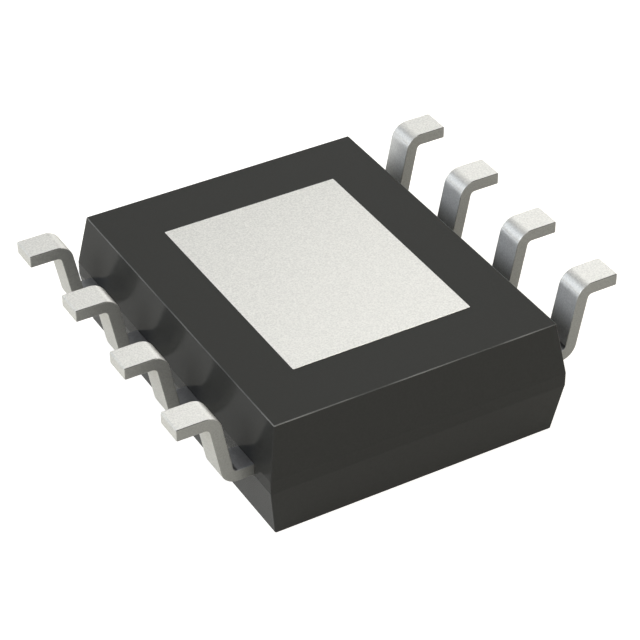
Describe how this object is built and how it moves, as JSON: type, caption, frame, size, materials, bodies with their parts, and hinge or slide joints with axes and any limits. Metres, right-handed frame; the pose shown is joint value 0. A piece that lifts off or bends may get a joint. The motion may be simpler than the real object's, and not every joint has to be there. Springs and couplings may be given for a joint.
{
  "type": "motor driver chip",
  "caption": "Small surface-mount motor driver: moulded body with gull-wing leads on both long sides and a plated thermal land flush in one face.",
  "frame": {"origin": "middle of the marking face, which is the face that the package lies on", "axes": "+Z out of the thermal pad, so the package is upside down as against its place on a board; X across the two rows of leads, Y along the rows; lead 1 is at -X, -Y"},
  "size_m": [0.0058, 0.005, 0.0017],
  "materials": {
    "mould_compound": "satin",
    "plated_land": "matte",
    "tin_plate": "satin",
    "silicon": "polished",
    "die_solder": "satin",
    "gold_wire": "polished"
  },
  "bodies": {
    "root": {"mould_body": "mould_compound", "die_pad": "plated_land", "lead_1": "tin_plate", "lead_2": "tin_plate", "lead_3": "tin_plate", "lead_4": "tin_plate", "lead_5": "tin_plate", "lead_6": "tin_plate", "lead_7": "tin_plate", "lead_8": "tin_plate", "silicon_die": "silicon", "die_attach": "die_solder", "bond_wire_1": "gold_wire", "bond_wire_2": "gold_wire", "bond_wire_3": "gold_wire", "bond_wire_4": "gold_wire", "bond_wire_5a": "gold_wire", "bond_wire_5b": "gold_wire", "bond_wire_6a": "gold_wire", "bond_wire_6b": "gold_wire", "bond_wire_7a": "gold_wire", "bond_wire_7b": "gold_wire", "bond_wire_8a": "gold_wire", "bond_wire_8b": "gold_wire"}
  },
  "joints": []
}
